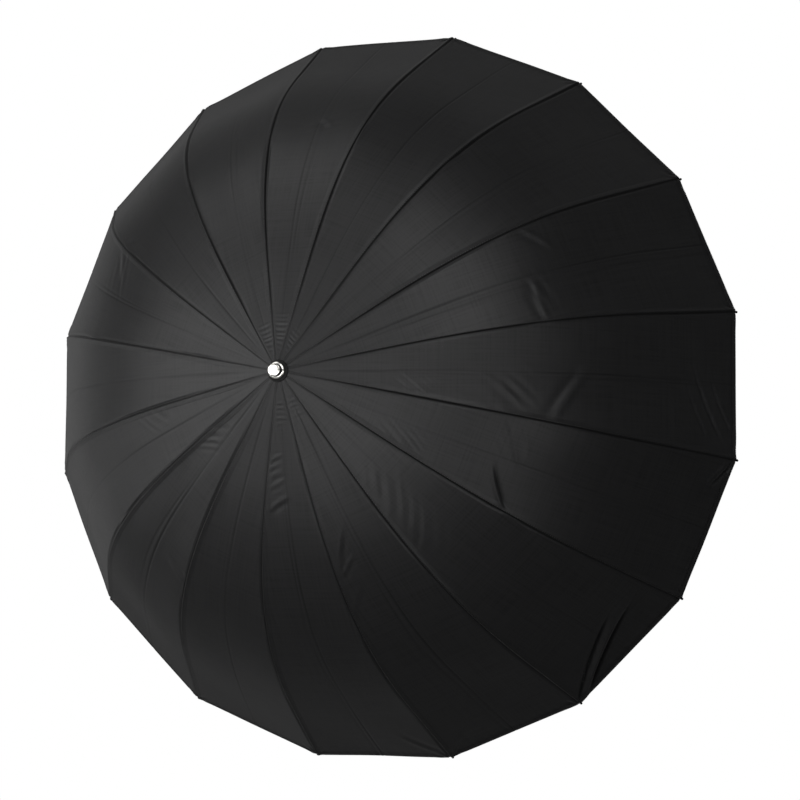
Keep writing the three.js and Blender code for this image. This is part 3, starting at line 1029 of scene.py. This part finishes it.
def rib_pieces(index):
    inner = "rib_" + number(index)
    outer = "rib_end_" + number(index)
    rod = in_place(rod_model.object("rod_" + number(index), [ROD]), index)
    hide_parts("rib_inner_" + number(index), "rib_outer_" + number(index))
    start = row_point(FLEX_SHARE - share_of(5), rib_angle(index))
    end = row_point(FLEX_SHARE + share_of(14), rib_angle(index))
    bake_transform(rod)
    fittings = linked("rib_fittings_" + number(index), fittings_model.data.copy())
    root = root_model.object("rib_root_" + number(index), [PLATED])
    ferrule = ferrule_model.object("rib_ferrule_" + number(index), [PLATED])
    for piece, body in ((fittings, inner), (root, inner), (ferrule, outer)):
        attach(in_place(piece, index), body)


# ------------ hub, shaft and linkage


def lathe(name, profile, material, sides=96):
    """A body turned about the shaft, from (radius, y) pairs that close or end on the axis."""
    around = outwards(np.arange(sides) * 2 * math.pi / sides)
    mesh, _ = ring_mesh((around * radius + np.array([0, y, 0])) * MM for radius, y in profile)
    bmesh.ops.remove_doubles(mesh, verts=mesh.verts, dist=1e-7)
    bmesh.ops.recalc_face_normals(mesh, faces=mesh.faces)
    for face in mesh.faces:
        face.smooth = True
    data = bpy.data.meshes.new(name)
    mesh.to_mesh(data)
    data.set_sharp_from_angle(angle=math.radians(40))
    data.materials.append(material)
    return linked(name, data)


def rounded(corners, radius, steps=6):
    """A profile with each inner corner replaced by a small curve."""
    corners = [np.array(corner, float) for corner in corners]
    line = [corners[0]]
    for before, corner, after in zip(corners, corners[1:], corners[2:]):
        sides = np.linalg.norm(before - corner), np.linalg.norm(after - corner)
        reach = min(radius, 0.45 * min(sides))
        start = corner + unit(before - corner) * reach
        end = corner + unit(after - corner) * reach
        for share in np.linspace(0, 1, steps):
            line.append((1 - share) ** 2 * start + 2 * share * (1 - share) * corner + share**2 * end)
    line.append(corners[-1])
    return line


SHAFT_BORE = 4.3
SHAFT_HEAD = -9.3  # from the apex
WASHER = 1.6  # thickness


def cone(radius, lift):
    """Y of the canopy's cone at a radius, with a lift towards the finial."""
    return APEX_Y + radius * math.tan(HUB_SLOPE) - lift


def finial():
    """A chromed knob on a dished collar; the neck between them gets the black rubber as painted shade.
    """
    top = APEX_Y - 12.8
    knob_foot = top + 3.3
    collar_top = top + 7.6
    knob = [(0, top), (3.2, top + 0.1), (6.2, top + 0.45), (8.5, top + 1.0), (8.5, knob_foot - 0.2)]
    neck = [(7.0, knob_foot), (7.0, collar_top)]
    collar = [(9.4, collar_top), (11.4, top + 8.9), (11.4, cone(11.4, 0.8))]
    foot = [(radius, cone(radius, WASHER + 0.6)) for radius in (10.4, SHAFT_BORE)]
    socket = [(SHAFT_BORE, APEX_Y + SHAFT_HEAD), (0, APEX_Y + SHAFT_HEAD)]
    corners = knob + neck + collar + foot + socket
    piece = lathe("finial_chromed", rounded(corners, 0.9), CHROME)
    # painted shade: the neck's faces take the black washer rubber, which stands for the shade in the
    # groove
    piece.data.materials.append(RUBBER)
    for face in piece.data.polygons:
        if knob_foot < face.center.y / MM <= collar_top + 0.1 and face.center.xz.length / MM < 9.0:
            face.material_index = 1
    fix_on_shaft(piece, "finial")


def washer():
    """The thin black ring that clamps the cover, with a rolled edge."""
    start = 8
    edge = 14.5
    outline = [(start, 0), (edge, 0), (edge, WASHER), (SHAFT_BORE, WASHER), (SHAFT_BORE, 0), (start, 0)]
    corners = [(radius, cone(radius, 0.3 + lift)) for radius, lift in outline]
    piece = lathe("canopy_washer_ring", rounded(corners, 0.7), RUBBER)
    fix_on_shaft(piece, "canopy_washer")


PLATED_NODES = ("shaft", "notch_wire", "notch_pin", "runner_wire", "catch", "catch_pin")
MOULDED_NODES = ("shaft_end_cap", "top_notch", "runner")
STRETCHER_NODES = ["stretcher_" + number(index) for index in range(RIBS)]
NODE_BEVEL = 0.00022


def finish_node(node, material):
    """Gives a CAD node its material, smooth round faces and eased edges."""
    data = node.data
    data.materials.clear()
    data.materials.append(material)
    if "custom_normal" in data.attributes:
        data.attributes.remove(data.attributes["custom_normal"])
    data.polygons.foreach_set("use_smooth", np.ones(len(data.polygons), bool))
    weld = node.modifiers.new("weld", "WELD")
    weld.merge_threshold = 0.00001
    bevel = node.modifiers.new("bevel", "BEVEL")
    bevel.width = NODE_BEVEL
    bevel.segments = 2
    bevel.limit_method = "ANGLE"
    bevel.angle_limit = math.radians(35)
    bevel.harden_normals = True


def finish_nodes(names, material):
    for name in names:
        finish_node(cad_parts[name], material)


# ------------ floor, light and camera

VIEW_AZIMUTH = 21.143
VIEW_ELEVATION = -5.106
VIEW_ROLL = -0.344
VIEW_DISTANCE = 3.979
VIEW_LENS = 124.66
VIEW_SHIFT = (0.01784, -0.00557)
SENSOR_WIDTH = 36
FLOOR_DROP = 1.25
FLOOR_REACH = 5.0
FLOOR_SIDES = 96
FLOOR_FADE = (1.5, 4.2)  # where it starts and ends to fade into the white


def make_floor():
    """A pale disc that fades into the white behind it; little of its light reaches the object."""
    mesh = bpy.data.meshes.new("floor")
    rim = arc((0, 0), FLOOR_REACH, 0, 360, FLOOR_SIDES + 1)[:-1]
    mesh.from_pydata([(*corner, -FLOOR_DROP) for corner in rim], [], [range(FLOOR_SIDES)])
    nodes = Nodes("floor")
    place = nodes.add("ShaderNodeTexCoord").outputs["Object"]
    reach = nodes.add("ShaderNodeVectorMath", {0: place}, operation="LENGTH").outputs["Value"]
    fade = {"Value": reach, "From Min": FLOOR_FADE[0], "From Max": FLOOR_FADE[1]}
    far = nodes.add("ShaderNodeMapRange", fade).outputs[0]
    seen = nodes.add("ShaderNodeLightPath").outputs["Is Camera Ray"]
    nodes.finish(
        Base_Color=(0.15, 0.15, 0.15, 1),
        Roughness=0.8,
        Emission_Color=(1, 1, 1, 1),
        Emission_Strength=nodes.maths("MULTIPLY", seen, nodes.between(far, 0.72, 1.0)),
    )
    mesh.materials.append(nodes.material)
    linked("floor", mesh)


# Softboxes round the object: azimuth and elevation as the camera's, and watts
SOFTBOXES = (
    ("front_left", -25, 5, 34),
    ("left", -50, 5, 35),
    ("high_left", -50, 55, 23),
    ("low_left", -75, -20, 15),
    ("low_front", 0, -20, 49),
    ("high_right", 25, 30, 38),
    ("low_right", 50, -20, 30),
    ("far_left", -110, 0, 4),
)
SOFTBOX_SIZE = 2.0
SOFTBOX_DISTANCE = 3.2
INSIDE_LIGHT = ("inside", 180, 8, 7)
INSIDE_SPREAD = math.radians(50)  # narrow, so that it lights the bowl and not the floor
AMBIENT = 0.08


def facing(azimuth, elevation):
    """The direction from the object towards a place that is seen at an azimuth and elevation."""
    turn = math.radians(azimuth)
    rise = math.radians(elevation)
    flat = math.cos(rise)
    return Vector((math.sin(turn) * flat, -math.cos(turn) * flat, math.sin(rise)))


def softbox(name, azimuth, elevation, power):
    light = bpy.data.lights.new(name, "AREA")
    light.size = SOFTBOX_SIZE
    light.energy = power
    lamp = linked(name, light)
    back = facing(azimuth, elevation)
    middle = Vector((0, (APEX_Y + RIM_Y) / 2 * MM, 0))
    lamp.location = middle + back * SOFTBOX_DISTANCE
    lamp.rotation_mode = "QUATERNION"
    lamp.rotation_quaternion = (-back).to_track_quat("-Z", "Y")
    return light


def make_world():
    """White where the camera looks past the object, faint grey light everywhere else."""
    world = bpy.data.worlds.new("studio")
    bpy.context.scene.world = world
    world.use_nodes = True
    tree = world.node_tree
    background = tree.nodes["Background"]
    background.inputs["Color"].default_value = (1, 1, 1, 1)
    seen = tree.nodes.new("ShaderNodeLightPath").outputs["Is Camera Ray"]
    strength = tree.nodes.new("ShaderNodeMapRange")
    strength.inputs["To Min"].default_value = AMBIENT
    tree.links.new(seen, strength.inputs["Value"])
    tree.links.new(strength.outputs[0], background.inputs["Strength"])


def make_camera():
    back = facing(VIEW_AZIMUTH, VIEW_ELEVATION)
    turn = Matrix.Rotation(math.radians(VIEW_ROLL), 4, "Y")
    aim = Matrix.Translation(Vector((0, RIM_Y * MM, 0)))
    look = (-back).to_track_quat("-Z", "Y").to_matrix().to_4x4()
    data = bpy.data.cameras.new("camera")
    data.lens = VIEW_LENS
    data.sensor_width = SENSOR_WIDTH
    data.shift_x, data.shift_y = VIEW_SHIFT
    data.clip_end = 60
    camera = linked("camera", data)
    camera.matrix_world = aim @ turn @ Matrix.Translation(back * VIEW_DISTANCE) @ look
    bpy.context.scene.camera = camera


def light_studio():
    bpy.context.scene.view_settings.view_transform = "Standard"
    for box in SOFTBOXES:
        softbox(*box)
    softbox(*INSIDE_LIGHT).spread = INSIDE_SPREAD
    make_world()


# ------------ the object

make_camera()
light_studio()
make_floor()
hub_disc()
for rib in range(RIBS):
    rib_cloth(rib)
    rib_pieces(rib)
bpy.data.objects.remove(fittings_model)
finial()
washer()
finish_nodes(PLATED_NODES, PLATED)
finish_nodes(MOULDED_NODES, MOULDING)
finish_nodes(STRETCHER_NODES, STRETCHER)
